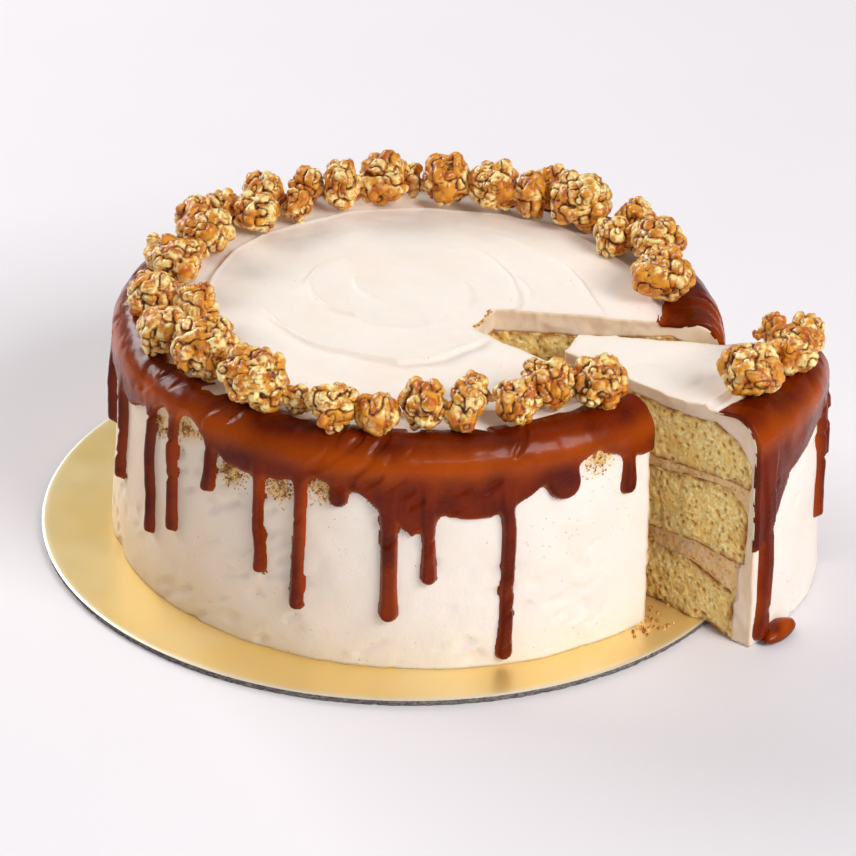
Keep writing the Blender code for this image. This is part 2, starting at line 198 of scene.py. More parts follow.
# The board's foil and card, each as radius and height
FOIL_PROFILE = [(0, 3), (40, 3), (80, 3), (110, 3), (128, 3), (133, 3), (134.8, 3), (135.5, 2.93),
                (135.9, 2.7), (135.9, 2.45), (135.2, 2.3), (0, 2.3)]
CARD_PROFILE = [(0, 2.45), (134, 2.45), (135.4, 2.4), (135.6, 1.8), (135.6, 1.2), (135.5, 0.6),
                (135.2, 0.02), (0, 0.02)]

# Colours as they look: red, green, blue, 0 to 255
CREAM = (250, 238, 228)
# Also the colour of the painted shade on the icing's side away from the key light and inside the popcorn
# ring
CREAM_SHADE_AND_TAN = (232, 200, 156)
FILLING = (236, 196, 134)
CRUMB_LIGHT = (255, 240, 176)
CRUMB = (250, 210, 122)
# Also the painted shade in the sponge's pores
CRUMB_DARK_AND_PORE_SHADE = (196, 134, 50)
CRUST = (164, 98, 36)
CARAMEL_DARK = (84, 19, 0)
CARAMEL_RED = (116, 33, 0)
# Also the painted glow round the caramel's rim
CARAMEL_ORANGE = (190, 82, 6)
GLAZE = (230, 156, 40)
GLAZE_DEEP = (192, 98, 8)
# Painted shade in the popcorn's creases
CREASE_SHADE = (84, 32, 2)
POPPED = (255, 236, 160)
GOLD = (252, 220, 138)
GOLD_PALE = (255, 230, 164)
# Painted highlight along the foil's rolled edge
FOIL_RIM_HIGHLIGHT = (250, 240, 214)
CARD = (74, 68, 66)
CARD_FIBRE = (150, 142, 136)
FLOOR = (244, 240, 243)
FLOOR_SHADE = (240, 236, 240)

# Studio lights: name, direction from the cake in degrees round and up, distance, width and
# height in metres, and power in watts
SOFTBOXES = [
    ("key", -42, 38, 2.6, 1.3, 1.0, 43),
    ("back_left", 138, 28, 2.6, 2.0, 0.8, 52),
    ("overhead", 60, 80, 2.6, 1.6, 1.6, 4),
    ("front_strip", -60, 29, 2.4, 2.4, 0.05, 9),
]
WORLD_LIGHT = 0.24
WORLD_TINT = (1, 0.985, 0.99, 1)
FLOOR_HALF = 6.0                     # metres
LIGHT_AIM = Vector((0, 0, 0.05))

# The camera: its place in metres, its turn, and its lens and sensor in millimetres
CAMERA_PLACE = (0.0103, -1.4993, 0.8455)
CAMERA_PITCH = math.radians(28.25)
CAMERA_ROLL = math.radians(1.46)
CAMERA_LENS = 189.25
CAMERA_SENSOR = 36


# ---------------------------------------------------------------- noise

def lattice(x, y, z, seed):
    """Pseudo-random numbers from 0 to 1, one for each whole-numbered place."""
    mixed = x.astype(np.uint32) * np.uint32(73856093)
    mixed ^= y.astype(np.uint32) * np.uint32(19349663)
    mixed ^= z.astype(np.uint32) * np.uint32(83492791)
    mixed ^= np.uint32(seed * 2654435761 % 2 ** 32)
    for shift, factor in ((15, 2246822519), (13, 3266489917)):
        mixed ^= mixed >> np.uint32(shift)
        mixed *= np.uint32(factor)
    mixed ^= mixed >> np.uint32(16)
    return mixed / 2 ** 32


def noise(points, size, seed):
    """Smooth noise from -1 to 1 with features of the given size."""
    scaled = points / size
    cell = np.floor(scaled)
    part = scaled - cell
    part = part ** 3 * (part * (part * 6 - 15) + 10)
    cell = cell.astype(np.int64)
    total = 0
    for corner in product((0, 1), repeat=3):
        weight = 1
        for axis in range(3):
            weight = weight * (part[:, axis] if corner[axis] else 1 - part[:, axis])
        total = total + weight * lattice(*(cell + np.array(corner)).T, seed)
    return total * 2 - 1


def noise_vectors(points, size, seed):
    """Three independent noises, as a vector for each point."""
    # Painted highlight where the foil rolls over its edge
    return np.stack([noise(points, size, seed + axis) for axis in range(3)], 1)


def cells(points, size, seed):
    """Distance to the nearest scattered site, and that site's own number."""
    scaled = points / size
    home = np.floor(scaled).astype(np.int64)
    nearest = np.full(len(points), 9.0)
    number = np.zeros(len(points))
    for step in product((-1, 0, 1), repeat=3):
        cell = home + np.array(step)
        site = cell + np.stack([lattice(*cell.T, seed + axis) for axis in range(3)], 1)
        distance = np.linalg.norm(scaled - site, axis=1)
        closer = distance < nearest
        number = np.where(closer, lattice(*cell.T, seed + 3), number)
        nearest = np.minimum(nearest, distance)
    return nearest, number


def smooth_step(low, high, value):
    """0 below low, 1 above high, smooth in between."""
    share = np.clip((value - low) / (high - low), 0, 1)
    return share * share * (3 - 2 * share)


def smooth_max(a, b, reach):
    """The larger of two, rounded where they are nearly equal."""
    blend = np.maximum(reach - np.abs(a - b), 0) / reach
    return np.maximum(a, b) + blend * blend * reach / 4


def table(values, pairs):
    """Interpolate a short list of pairs."""
    at, height = zip(*sorted(pairs))
    return np.interp(values, at, height)


# ---------------------------------------------------------------- meshes

def linear(colour):
    """Turn a colour as it looks into the renderer's linear one."""
    parts = [value / 255 for value in colour]
    return [p / 12.92 if p <= 0.04045 else ((p + 0.055) / 1.055) ** 2.4 for p in parts]


def grid_faces(rows, columns, start=0):
    """Four-cornered faces of a grid of points stored row by row."""
    corner = np.arange(rows * columns).reshape(rows, columns) + start
    faces = np.stack([corner[:-1, :-1], corner[:-1, 1:], corner[1:, 1:], corner[1:, :-1]], -1)
    return faces.reshape(-1, 4)


class Shell:
    """Grids and polygons that are welded into one closed piece."""

    def __init__(self):
        self.points = []
        self.faces = []
        self.count = 0

    def add(self, points, faces):
        """Add points with faces that number them from zero."""
        points = np.asarray(points, float).reshape(-1, 3)
        self.points.append(points)
        self.faces += [[corner + self.count for corner in face] for face in faces]
        self.count += len(points)

    def add_grid(self, grid):
        """Add a grid of shape rows, columns, 3."""
        rows, columns = grid.shape[:2]
        self.add(grid, grid_faces(rows, columns).tolist())

    def add_polygon(self, points):
        """Add one face."""
        self.add(points, [list(range(len(points)))])

    def add_cap(self, loop, inside):
        """Close a loop seen from above, passing through the points inside it."""
        points = np.concatenate([loop, inside]) if len(inside) else loop
        count = len(loop)
        edges = [(i, (i + 1) % count) for i in range(count)]
        flat = [Vector(point[:2]) for point in points.tolist()]
        made = delaunay_2d_cdt(flat, edges, [], 1, 1e-6)
        origin = [sources[0] for sources in made[3]]
        self.add(points[origin], made[2])

    def all_points(self):
        """Every point, in one array."""
        return np.concatenate(self.points)


def build(name, points, faces, material, attributes=None, smooth_angle=180.0):
    """Make a welded, outward-facing mesh object from points in the frame's millimetres."""
    mesh = bpy.data.meshes.new(name)
    mesh.from_pydata((points * MM).tolist(), [], faces)
    for key, values in (attributes or {}).items():
        layer = mesh.attributes.new(key, "FLOAT", "POINT")
        layer.data.foreach_set("value", np.ascontiguousarray(values, np.float32))
    bm = bmesh.new()
    bm.from_mesh(mesh)
    bmesh.ops.remove_doubles(bm, verts=bm.verts, dist=1e-7)
    bmesh.ops.recalc_face_normals(bm, faces=bm.faces)
    bm.to_mesh(mesh)
    bm.free()
    mesh.materials.append(material)
    mesh.shade_smooth()
    if smooth_angle < 180:
        mesh.set_sharp_from_angle(angle=math.radians(smooth_angle))
    piece = bpy.data.objects.new(name, mesh)
    bpy.context.scene.collection.objects.link(piece)
    return piece


def register(piece, slot, *nodes):
    """Tell the frame what a piece rides on and replaces."""
    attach(piece, "root")
    if nodes:
        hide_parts(*nodes)
    return piece


# ---------------------------------------------------------------- materials

class Surface:
    """A procedural material on the Principled shader."""

    def __init__(self, name, **values):
        self.material = bpy.data.materials.new(name)
        self.material.use_nodes = True
        self.nodes = self.material.node_tree.nodes
        self.links = self.material.node_tree.links
        self.shader = self.nodes["Principled BSDF"]
        self.place = self.nodes.new("ShaderNodeTexCoord").outputs["Object"]
        for socket, value in values.items():
            self.shader.inputs[socket.replace("_", " ")].default_value = value

    def feed(self, socket, value):
        """Connect or set a socket."""
        if isinstance(value, bpy.types.NodeSocket):
            self.links.new(value, socket)
        else:
            socket.default_value = value

    def stretched(self, scale):
        """Texture coordinates scaled unevenly."""
        mapping = self.nodes.new("ShaderNodeMapping")
        self.feed(mapping.inputs["Vector"], self.place)
        mapping.inputs["Scale"].default_value = scale
        return mapping.outputs["Vector"]

    def noise(self, size, detail=3.0, vector=None):
        """Noise with features of a size in millimetres."""
        node = self.nodes.new("ShaderNodeTexNoise")
        self.feed(node.inputs["Vector"], vector or self.place)
        node.inputs["Scale"].default_value = 1 / (size * MM)
        node.inputs["Detail"].default_value = detail
        return node.outputs["Fac"]

    def cells(self, size):
        """Distance to the nearest site of a cell pattern of a size in millimetres."""
        node = self.nodes.new("ShaderNodeTexVoronoi")
        self.feed(node.inputs["Vector"], self.place)
        node.inputs["Scale"].default_value = 1 / (size * MM)
        return node.outputs["Distance"]

    def attribute(self, name):
        """A value stored on the mesh."""
        node = self.nodes.new("ShaderNodeAttribute")
        node.attribute_name = name
        return node.outputs["Fac"]

    def ramp(self, value, low, high):
        """Stretch the range from low to high to 0..1, clamped."""
        node = self.nodes.new("ShaderNodeMapRange")
        node.interpolation_type = "SMOOTHSTEP"
        self.feed(node.inputs["Value"], value)
        node.inputs["From Min"].default_value = low
        node.inputs["From Max"].default_value = high
        return node.outputs["Result"]

    def maths(self, operation, a, b):
        """One arithmetic step."""
        node = self.nodes.new("ShaderNodeMath")
        node.operation = operation
        self.feed(node.inputs[0], a)
        self.feed(node.inputs[1], b)
        return node.outputs["Value"]

    def mix(self, share, a, b):
        """Blend two colours."""
        node = self.nodes.new("ShaderNodeMix")
        node.data_type = "RGBA"
        self.feed(node.inputs["Factor"], share)
        for socket, value in ((node.inputs[6], a), (node.inputs[7], b)):
            if isinstance(value, tuple):
                value = (*linear(value), 1)
            self.feed(socket, value)
        return node.outputs[2]

    def colour(self, value):
        """Set the base colour."""
        self.feed(self.shader.inputs["Base Color"], value)

    def roughness(self, share, low, high):
        """Let the roughness vary between two values."""
        node = self.nodes.new("ShaderNodeMapRange")
        self.feed(node.inputs["Value"], share)
        node.inputs["To Min"].default_value = low
        node.inputs["To Max"].default_value = high
        self.feed(self.shader.inputs["Roughness"], node.outputs["Result"])

    def bump(self, height, depth, strength=1.0):
        """Add relief of a depth in millimetres over any relief there already."""
        node = self.nodes.new("ShaderNodeBump")
        self.feed(node.inputs["Height"], height)
        node.inputs["Distance"].default_value = depth * MM
        node.inputs["Strength"].default_value = strength
        normal = self.shader.inputs["Normal"]
        if normal.is_linked:
            self.feed(node.inputs["Normal"], normal.links[0].from_socket)
        self.feed(normal, node.outputs["Normal"])


def icing_material():
    """Pale buttercream: satin, with fine pits, specks and warmer patches, and the painted shade that the
    tan attribute carries.
    """
    surface = Surface("icing", Roughness=0.5, Subsurface_Weight=0.25, Subsurface_Scale=0.003,
                      Specular_IOR_Level=0.35,
                      Subsurface_Radius=(1.0, 0.6, 0.35))
    patches = surface.ramp(surface.noise(22, 4), 0.42, 0.75)
    # The tan attribute is mostly painted shade; the noise patches are the cream's own uneven tone
    tan = surface.maths("ADD", surface.attribute("tan"), surface.maths("MULTIPLY", patches, 0.14))
    base = surface.mix(tan, CREAM, CREAM_SHADE_AND_TAN)
    specks = surface.ramp(surface.cells(3.4), 0.085, 0.05)
    chosen = surface.ramp(surface.noise(7, 1), 0.58, 0.62)
    base = surface.mix(surface.maths("MULTIPLY", specks, chosen), base, CRUMB_DARK_AND_PORE_SHADE)
    surface.colour(base)
    surface.roughness(surface.noise(3, 3), 0.42, 0.62)
    surface.bump(surface.noise(9, 4), 0.5, 0.6)
    surface.bump(surface.noise(1.1, 2), 0.12, 0.6)
    pits = surface.ramp(surface.cells(2.6), 0.16, 0.05)
    surface.bump(surface.maths("MULTIPLY", pits, surface.attribute("pitted")), -0.35)
    return surface.material


def filling_material():
    """The same buttercream between the sponges, smeared with crumbs."""
    surface = Surface("filling", Roughness=0.55, Subsurface_Weight=0.2, Subsurface_Scale=0.003,
                      Subsurface_Radius=(1.0, 0.6, 0.3))
    blotches = surface.ramp(surface.noise(5, 4), 0.4, 0.66)
    base = surface.mix(blotches, FILLING, CREAM_SHADE_AND_TAN)
    crumbs = surface.ramp(surface.noise(1.6, 3), 0.56, 0.66)
    base = surface.mix(surface.maths("MULTIPLY", crumbs, 0.7), base, CRUMB_DARK_AND_PORE_SHADE)
    surface.colour(base)
    surface.bump(surface.noise(2.2, 4), 0.4)
    surface.bump(surface.noise(0.6, 2), 0.1)
    return surface.material


def sponge_material():
    """Golden open crumb with painted shade in its pores, and a brown crust at the edges of each layer."""
    surface = Surface("sponge", Roughness=0.85, Subsurface_Weight=0.15, Subsurface_Scale=0.002,
                      Specular_IOR_Level=0.2,
                      Subsurface_Radius=(1.0, 0.7, 0.3))
    crumb = surface.ramp(surface.noise(1.5, 4), 0.36, 0.64)
    base = surface.mix(crumb, CRUMB, CRUMB_LIGHT)
    base = surface.mix(surface.ramp(surface.noise(12, 3), 0.45, 0.72), base, CRUMB)
    # Painted shade in the pores, and in the fine pits below
    base = surface.mix(surface.attribute("pore_shade"), base, CRUMB_DARK_AND_PORE_SHADE)
    fine = surface.ramp(surface.cells(0.9), 0.28, 0.1)
    base = surface.mix(surface.maths("MULTIPLY", fine, 0.55), base, CRUMB_DARK_AND_PORE_SHADE)
    uneven = surface.ramp(surface.noise(4, 3), 0.3, 0.6)
    crust = surface.maths("MULTIPLY", surface.attribute("crust"), uneven)
    base = surface.mix(crust, base, CRUST)
    surface.colour(base)
    surface.bump(surface.noise(1.2, 4), 0.5)
    surface.bump(surface.noise(0.45, 2), 0.18)
    return surface.material


def caramel_material():
    """Deep red-brown glossy caramel that turns orange where the sheet thins, with a painted glow round
    the rim.
    """
    surface = Surface("caramel", Roughness=0.24, Coat_Weight=0.08, Coat_Roughness=0.06,
                      Subsurface_Weight=0.1, Subsurface_Scale=0.002, Specular_IOR_Level=0.11,
                      Subsurface_Radius=(1.0, 0.3, 0.08))
    cloud = surface.ramp(surface.noise(14, 4), 0.35, 0.7)
    deep = surface.mix(cloud, CARAMEL_RED, CARAMEL_DARK)
    # Orange where the sheet thins, plus a painted glow round the rim
    thin_and_glow = surface.attribute("thin_and_glow")
    base = surface.mix(thin_and_glow, deep, CARAMEL_ORANGE)
    surface.colour(base)
    surface.roughness(surface.noise(1.4, 3), 0.16, 0.34)
    surface.bump(surface.noise(6, 3), 0.3, 0.5)
    surface.bump(surface.noise(0.8, 3), 0.07, 0.6)
    return surface.material


def popcorn_material():
    """Popped corn, thinly glazed in amber, cream on the high spots, with painted shade in the creases."""
    surface = Surface("popcorn", Roughness=0.32, Coat_Weight=0.4, Coat_Roughness=0.08,
                      Subsurface_Weight=0.15, Subsurface_Scale=0.002, Specular_IOR_Level=0.3,
                      Subsurface_Radius=(1.0, 0.5, 0.2))
    amber = surface.mix(surface.ramp(surface.noise(4, 4), 0.38, 0.64), GLAZE, GLAZE_DEEP)
    bare_spots = surface.ramp(surface.noise(3, 4), 0.38, 0.6)
    cream = surface.maths("MULTIPLY", surface.attribute("bare"), bare_spots)
    base = surface.mix(cream, amber, POPPED)
    # Painted shade, dark brown in patches along the creases
    shade_spots = surface.ramp(surface.noise(2.4, 3), 0.25, 0.5)
    crease_shade = surface.maths("MULTIPLY", surface.attribute("crease"), shade_spots)
    base = surface.mix(crease_shade, base, CREASE_SHADE)
    surface.colour(base)
    surface.roughness(surface.noise(2, 3), 0.2, 0.5)
    surface.bump(surface.noise(1.6, 4), 0.45)
    surface.bump(surface.noise(0.5, 2), 0.1)
    return surface.material


def foil_material():
    """Gold foil on the board, softly uneven, with a painted highlight along its rolled rim."""
    surface = Surface("foil", Metallic=0.75, Roughness=0.45, Coat_Weight=0.8, Coat_Roughness=0.3)
    gold = surface.mix(surface.ramp(surface.noise(60, 2), 0.4, 0.65), GOLD, GOLD_PALE)
    # The rim attribute paints a highlight along the rolled edge
    surface.colour(surface.mix(surface.attribute("rim"), gold, FOIL_RIM_HIGHLIGHT))
    surface.roughness(surface.noise(18, 3), 0.4, 0.54)
    surface.bump(surface.noise(30, 2), 0.25, 0.4)
    surface.bump(surface.noise(0.7, 2), 0.03, 0.5)
    return surface.material


def card_material():
    """Dark grey fibrous card at the board's edge."""
    surface = Surface("card", Roughness=0.9)
    fibres = surface.noise(1.6, 4, vector=surface.stretched((1, 1, 4)))
    surface.colour(surface.mix(surface.ramp(fibres, 0.35, 0.7), CARD, CARD_FIBRE))
    surface.bump(surface.noise(0.8, 3), 0.3)
    return surface.material


def crumb_material():
    """Loose crumbs of the browned sponge."""
    surface = Surface("crumbs", Roughness=0.9)
    surface.colour(surface.mix(surface.ramp(surface.noise(2.5, 3), 0.4, 0.62), CRUST, CRUMB))
    surface.bump(surface.noise(0.5, 3), 0.2)
    return surface.material


def floor_material():
    """Plain pale studio floor."""
    surface = Surface("floor", Roughness=0.6)
    surface.colour(surface.mix(surface.noise(120, 2), FLOOR, FLOOR_SHADE))
    return surface.material


# ---------------------------------------------------------------- plan of the cut

class Sector:
    """Plan of the cake or of the slice: a sector whose tip is cut off square."""

    def __init__(self, tip, is_slice):
        self.tip = tip
        self.is_slice = is_slice
        self.chord = tip * math.cos(CUT_HALF)
        self.start = CUT_FRONT if is_slice else CUT_BACK
        self.end = CUT_BACK if is_slice else CUT_FRONT + FULL_TURN

    def half_opening(self, radius):
        """Half the angle between the cut faces at a radius, closing to none at the tip."""
        ratio = self.chord / np.maximum(radius, self.chord)
        return np.minimum(np.arccos(np.clip(ratio, -1, 1)), CUT_HALF)

    def angle(self, share, radius):
        """Angle of a column some share of the way from the start face to the end face."""
        half = self.half_opening(radius)
        if self.is_slice:
            return CUT_MIDDLE - half + 2 * half * share
        return CUT_MIDDLE + half + (FULL_TURN - 2 * half) * share

    def tip_radii(self, step):
        """Radii at even steps along half of the blunt tip."""
        half_width = self.tip * math.sin(CUT_HALF)
        steps = math.ceil(half_width / step)
        return np.hypot(self.chord, np.linspace(0, half_width, steps + 1))

    def face_radii(self, outer, step):
        """Radii of points along one cut face, from the middle of the tip outwards."""
        steps = math.ceil((outer - self.tip) / step)
        return np.concatenate([self.tip_radii(step), np.linspace(self.tip, outer, steps + 1)[1:]])

    def cut_normals(self, points):
        """Distance to the cut faces and the direction out of them, for each point."""
        side = 1 if self.is_slice else -1
        turns = []
        for angle, sign in ((self.start, 1), (self.end, -1)):
            along = np.array([math.cos(angle), math.sin(angle)])
            normal = np.array([math.sin(angle), -math.cos(angle)]) * sign
            turns.append((self.tip * along, along, 400, normal))
        middle = np.array([math.cos(CUT_MIDDLE), math.sin(CUT_MIDDLE)])
        across = np.array([-math.sin(CUT_MIDDLE), math.cos(CUT_MIDDLE)])
        half_width = self.tip * math.sin(CUT_HALF)
        turns.append((self.chord * middle - half_width * across, across, 2 * half_width, -side * middle))
        nearest = np.full(len(points), 1e9)
        total = np.zeros((len(points), 3))
        weights = np.zeros(len(points))
        for origin, along, length, normal in turns:
            offset = points[:, :2] - origin
            run = np.clip(offset @ along, 0, length)
            distance = np.linalg.norm(offset - run[:, None] * along, axis=1)
            nearest = np.minimum(nearest, distance)
            weight = 1 / (distance + 0.4) ** 3
            total[:, :2] += weight[:, None] * normal
            weights += weight
        return nearest, total / weights[:, None]


CAKE = Sector(NOTCH_TIP, False)
SLICE = Sector(SLICE_TIP, True)


def polar(radius, angle, height):
    """Points from radius, angle and height."""
    return np.stack(np.broadcast_arrays(radius * np.cos(angle), radius * np.sin(angle), height), -1)


def place(points, sector):
    """Move points of the cake or the slice from its own axis into the frame."""
    moved = points + CAKE_AXIS
    if sector.is_slice:
        moved = moved + SLICE_SHIFT
        overhang = np.hypot(moved[:, 0], moved[:, 1]) - BOARD_RADIUS
        droop = 2.3 * smooth_step(-2, 22, overhang) * smooth_step(60, 0, points[:, 2])
        moved[:, 2] -= droop
    return moved


# ---------------------------------------------------------------- icing

def outline(length):
    """Radius, height and outward direction of the icing's outline at a length along it."""
    length = np.asarray(length, float)
    turn = np.clip((length - TOP_END) / RIM_RADIUS, 0, math.pi / 2)
    radius = np.minimum(length, TOP_END) + RIM_RADIUS * np.sin(turn)
    height = CAKE_HEIGHT - RIM_RADIUS * (1 - np.cos(turn))
    down = np.maximum(length - RIM_END, 0)
    radius = radius + (BASE_RADIUS - SIDE_TOP_RADIUS) * down / SIDE_HEIGHT
    return radius, height - down, np.sin(turn), np.cos(turn)


def knife_marks(x, y):
    """Height of the palette knife's ridges on the top."""
    offset_x = x - SWIRL_CENTRE[0]
    offset_y = y - SWIRL_CENTRE[1]
    radius = np.hypot(offset_x, offset_y)
    flat = np.stack([x, y, np.zeros_like(x)], 1)
    bend = noise(flat, 9, 70) * 0.5
    total = 0.1 * np.sin((radius + 2.2 * np.arctan2(offset_y, offset_x)) / 1.7)
    total = total * smooth_step(0.1, 0.5, noise(flat, 24, 74))
    for points, lip, step in SWIRLS:
        angles = [angle for angle, _ in points]
        low, high = min(angles), max(angles)
        angle = np.degrees(np.arctan2(offset_y, offset_x))
        centre = (low + high) / 2
        angle = (angle - centre + 180) % 360 - 180 + centre
        fade = smooth_step(low - 3, low + 12, angle) * smooth_step(high + 3, high - 12, angle)
        across = radius - table(angle, points) + bend
        ridge = LIP_DEPTH * lip * np.exp(-(across / 0.85) ** 2)
        slope = STEP_DEPTH * step * np.where(across < 0, np.exp(across / 8), np.exp(-(across / 0.9) ** 2))
        total = total + fade * (ridge + slope)
    return total


def icing_height(length, angle, sector):
    """How far the icing stands proud of its plain outline."""
    radius, height, _, _ = outline(length)
    base = polar(radius, angle, height)
    total = 0.5 * noise(base, 30, 11) + 0.35 * noise(base, 12, 12) + 0.1 * noise(base, 4, 13)
    on_top = smooth_step(TOP_END + 4, TOP_END - 6, length)
    coat = table((np.degrees(angle) + 60) % 360 - 60, COAT_EDGE)
    across = radius - coat + noise(base, 14, 15)
    coat_step = COAT_STEP * smooth_step(1.2, -0.2, across) + COAT_LIP * np.exp(-across ** 2) - COAT_STEP
    total = total + on_top * (knife_marks(base[:, 0], base[:, 1]) + coat_step)
    on_side = 1 - on_top
    along, rise = math.cos(GOUGE_TILT), math.sin(GOUGE_TILT)
    slanted = np.stack([
        (angle * BASE_RADIUS * along + height * rise) / GOUGE_STRETCH,
        height * along - angle * BASE_RADIUS * rise,
        np.zeros_like(height)], 1)
    gouges = smooth_step(0.35, 0.75, noise(slanted, 2.6, 21))
    gouges = gouges * smooth_step(-0.35, 0.2, noise(base, 26, 22))
    total = total - on_side * GOUGE_DEPTH * gouges
    if sector.is_slice:
        total = total + on_top * table(radius, SLICE_DISH)
    return total


def icing_surface(length, angle, sector, lift=0.0):
    """Points on the icing, or lifted off it, with its real unevenness."""
    length = np.ravel(length)
    angle = np.ravel(angle)
    radius, height, out, up = outline(length)
    proud = icing_height(length, angle, sector) + np.ravel(lift)
    return polar(radius + out * proud, angle, height + up * proud)


def wander(points):
    """Shift points a little, so that the layers' edges wander as cut cake does."""
    return points + 0.55 * noise_vectors(points, 11, 31) + 0.22 * noise_vectors(points, 3.6, 36)


def inner_outline(length):
    """Radius and height of the icing's inner face opposite a length on its outer face."""
    radius = np.interp(length, [0, SHOULDER_FROM, RIM_END], [0, SHOULDER_FROM, WALL_RADIUS])
    ceiling = table(radius, LEVELS["top_top"]) + LAYER_GAP
    down = np.clip((length - RIM_END) / SIDE_HEIGHT, 0, 1)
    wall_height = WALL_TOP * (1 - down) + WALL_FOOT * down
    wall_radius = table(wall_height, [(z, r) for r, z in INNER_WALL])
    on_wall = length > RIM_END
    return np.where(on_wall, wall_radius, radius), np.where(on_wall, wall_height, ceiling)


def icing_rows(sector):
    """Lengths along the outline at which the icing has a row of points."""
    fine = detail(0.72, 1.6)
    first = sector.chord
    inner = np.linspace(0, first, 22)[:-1] if not sector.is_slice else np.empty(0)
    face = sector.face_radii(RIM_FROM, fine)
    rim = np.linspace(RIM_FROM, RIM_END, 15)[1:]
    side = np.linspace(RIM_END, SIDE_END, round(SIDE_HEIGHT / (fine * 1.55)) + 1)[1:]
    return np.concatenate([inner, face, rim, side])


def make_icing(name, sector, columns, material, *nodes):
    """The coat of icing: a knife-marked outer face, the cut edges and the face inside."""
    lengths = icing_rows(sector)
    radii = outline(lengths)[0]
    shares = np.linspace(0, 1, columns + 1)
    grid_length, grid_share = np.meshgrid(lengths, shares, indexing="ij")
    grid_radius = outline(grid_length)[0]
    angles = sector.angle(grid_share, grid_radius)
    outer = icing_surface(grid_length, angles, sector).reshape(*angles.shape, 3)
    shell = Shell()
    shell.add_grid(outer)

    on_cut = radii >= sector.chord - 1e-6
    stations = lengths[on_cut]
    inner_radius, inner_height = inner_outline(stations)
    across = np.linspace(0, 1, 9)[:, None, None]
    edges = []
    for share, column in ((0, outer[on_cut, 0]), (1, outer[on_cut, -1])):
        inner_edge = polar(inner_radius, sector.angle(share, inner_radius), inner_height)
        edges.append(inner_edge)
        shell.add_grid(inner_edge + (column - inner_edge) * across)

    on_ceiling = stations <= RIM_END + 1e-6
    ceiling_end = int(on_ceiling.sum())
    start_edge, end_edge = edges
    coarse = coarse_shares(sector)
    arc = polar(WALL_RADIUS, sector.angle(coarse, WALL_RADIUS), WALL_TOP + LAYER_GAP)
    loop = np.concatenate([start_edge[:ceiling_end][::-1], end_edge[1:ceiling_end], arc[::-1]])
    shell.add_cap(loop, cap_points(sector, "top_top", WALL_RADIUS))

    wall = np.array(INNER_WALL)
    wall_columns = np.array([
        polar(wall[:, 0], sector.angle(share, WALL_RADIUS), wall[:, 1]) for share in coarse])
    wall_columns[:, 0, 2] += LAYER_GAP
    shell.add_grid(wall_columns)
    shell.add_polygon(np.concatenate([start_edge[ceiling_end - 1:], wall_columns[0][::-1]]))
    shell.add_polygon(np.concatenate([end_edge[ceiling_end - 1:], wall_columns[-1][::-1]]))

    bottom_inner = wall_columns[:, -1]
    start_bottom = start_edge[-1] + (outer[-1, 0] - start_edge[-1]) * across[:, 0]
    end_bottom = end_edge[-1] + (outer[-1, -1] - end_edge[-1]) * across[:, 0]
    ring = np.concatenate([start_bottom[:-1], outer[-1], end_bottom[::-1][1:], bottom_inner[::-1]])
    shell.add_cap(ring, np.empty((0, 3)))

    points = shell.all_points()
    depth = points_depth(points)
    inside = smooth_step(0, 2.5, depth)[:, None]
    points = points + inside * (wander(points) - points)
    distance, normal = sector.cut_normals(points)
    rough = 0.35 * noise(points, 5, 41) + 0.25 * noise(points, 2.2, 42)
    near_cut = np.exp(-distance / 0.8)
    points = points + normal * (rough * near_cut)[:, None]
    angle = np.degrees(np.arctan2(points[:, 1], points[:, 0]))
    height = points[:, 2]
    # Painted shade: the side facing away from the key light, warmer low down where light would bounce off
    # the gold board; also tan near the cuts
    shaded_side = smooth_step(60, 150, np.abs((angle + 15 + 180) % 360 - 180))
    on_side = smooth_step(CAKE_HEIGHT - 3, CAKE_HEIGHT - 10, height)
    low = smooth_step(70, 0, height)
    tan = on_side * (0.02 + 0.6 * shaded_side * (0.75 + 0.25 * low)) + 0.6 * near_cut
    # Brown crumbs smeared into the icing under the caramel's arches
    for spot_angle, spot_height in ([] if sector.is_slice else SIDE_CRUMBS):
        across = (angle - spot_angle) * BASE_RADIUS * math.pi / 180
        tan = tan + on_side * np.exp(-(across / 5.5) ** 2 - ((height - spot_height) / 4.5) ** 2)
    # Painted shadow of the popcorn on the top inside the ring, on the shaded side
    ring_shade = smooth_step(80, 92, np.hypot(points[:, 0], points[:, 1])) * (1 - on_side)
    tan = np.clip(tan + 0.25 * ring_shade * shaded_side, 0, 1)
    pitted = on_side * smooth_step(-0.2, 0.4, noise(points, 25, 44))
    attributes = {"tan": tan, "pitted": pitted}
    piece = build(name, place(points, sector), shell.faces, material, attributes)
    return register(piece, "buttercream", *nodes)


def points_depth(points):
    """Rough depth of a point below the icing's outer face."""
    radius = np.hypot(points[:, 0], points[:, 1])
    height = points[:, 2]
    out = np.maximum(radius - TOP_END, 0)
    up = np.maximum(height - SIDE_HEIGHT, 0)
    side = BASE_RADIUS - (BASE_RADIUS - SIDE_TOP_RADIUS) * np.clip(height / SIDE_HEIGHT, 0, 1)
    corner = RIM_RADIUS - np.hypot(out, up)
    depth = np.where(up > 0, corner, side - radius)
    return np.clip(np.minimum(depth, np.where(out > 0, depth, CAKE_HEIGHT - height)) - 0.9, 0, 50)


# ---------------------------------------------------------------- layers

def coarse_shares(sector):
    """Shares of the way round for surfaces that are hidden inside the cake."""
    count = 8 if sector.is_slice else 72
    return np.linspace(0, 1, count + 2)[1:-1]


def cap_points(sector, level, outer):
    """Points inside a cap, so that it follows the level's shape."""
    rows = []
    for radius, _ in LEVELS[level]:
        if sector.tip + 6 < radius < outer - 2:
            rows.append(polar(radius, sector.angle(coarse_shares(sector), radius), 0))
    if not rows:
        return np.empty((0, 3))
    points = np.concatenate(rows)
    points[:, 2] = table(np.hypot(points[:, 0], points[:, 1]), LEVELS[level]) + LAYER_GAP
    return points


